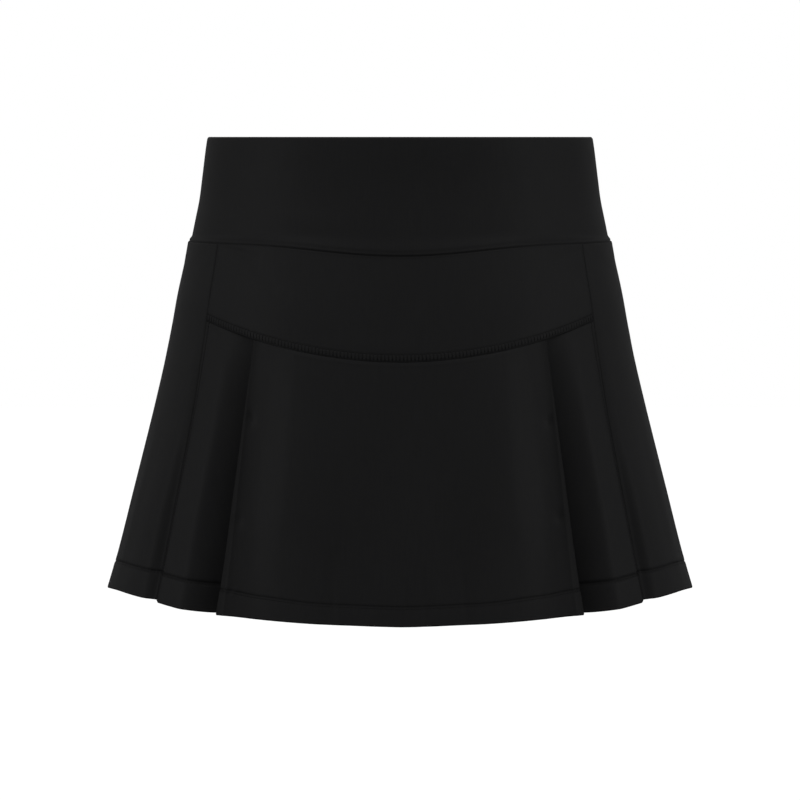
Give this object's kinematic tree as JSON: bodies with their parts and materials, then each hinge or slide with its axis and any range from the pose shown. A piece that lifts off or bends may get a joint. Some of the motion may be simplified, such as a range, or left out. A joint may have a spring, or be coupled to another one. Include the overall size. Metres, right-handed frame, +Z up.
{
  "type": "tennis skort",
  "caption": "Hollow pleated tennis skort, filled out with no wearer: wide waistband, curved yoke, knife-pleated flared skirt and inner shorts",
  "frame": {"origin": "centre of the waist opening, in the plane of the waistband's top edge", "axes": "+X the wearer's left, which is on the right seen from the front, +Y to the back, +Z up; the front faces -Y"},
  "size_m": [0.4148, 0.3115, 0.3213],
  "materials": {
    "skirt_knit": "matt black stretch knit with a faint sheen",
    "band_knit": "matt black doubled stretch knit, smooth and firm",
    "shorts_knit": "matt black fine stretch knit",
    "thread": "matt black sewing thread"
  },
  "bodies": {
    "root": {"waistband_front": "band_knit", "waistband_back": "band_knit", "front_yoke": "skirt_knit", "skirt_front": "skirt_knit", "side_panel_left": "skirt_knit", "side_panel_right": "skirt_knit", "back_panel": "skirt_knit", "shorts_front_left": "shorts_knit", "shorts_front_right": "shorts_knit", "shorts_back_left": "shorts_knit", "shorts_back_right": "shorts_knit"}
  },
  "joints": []
}
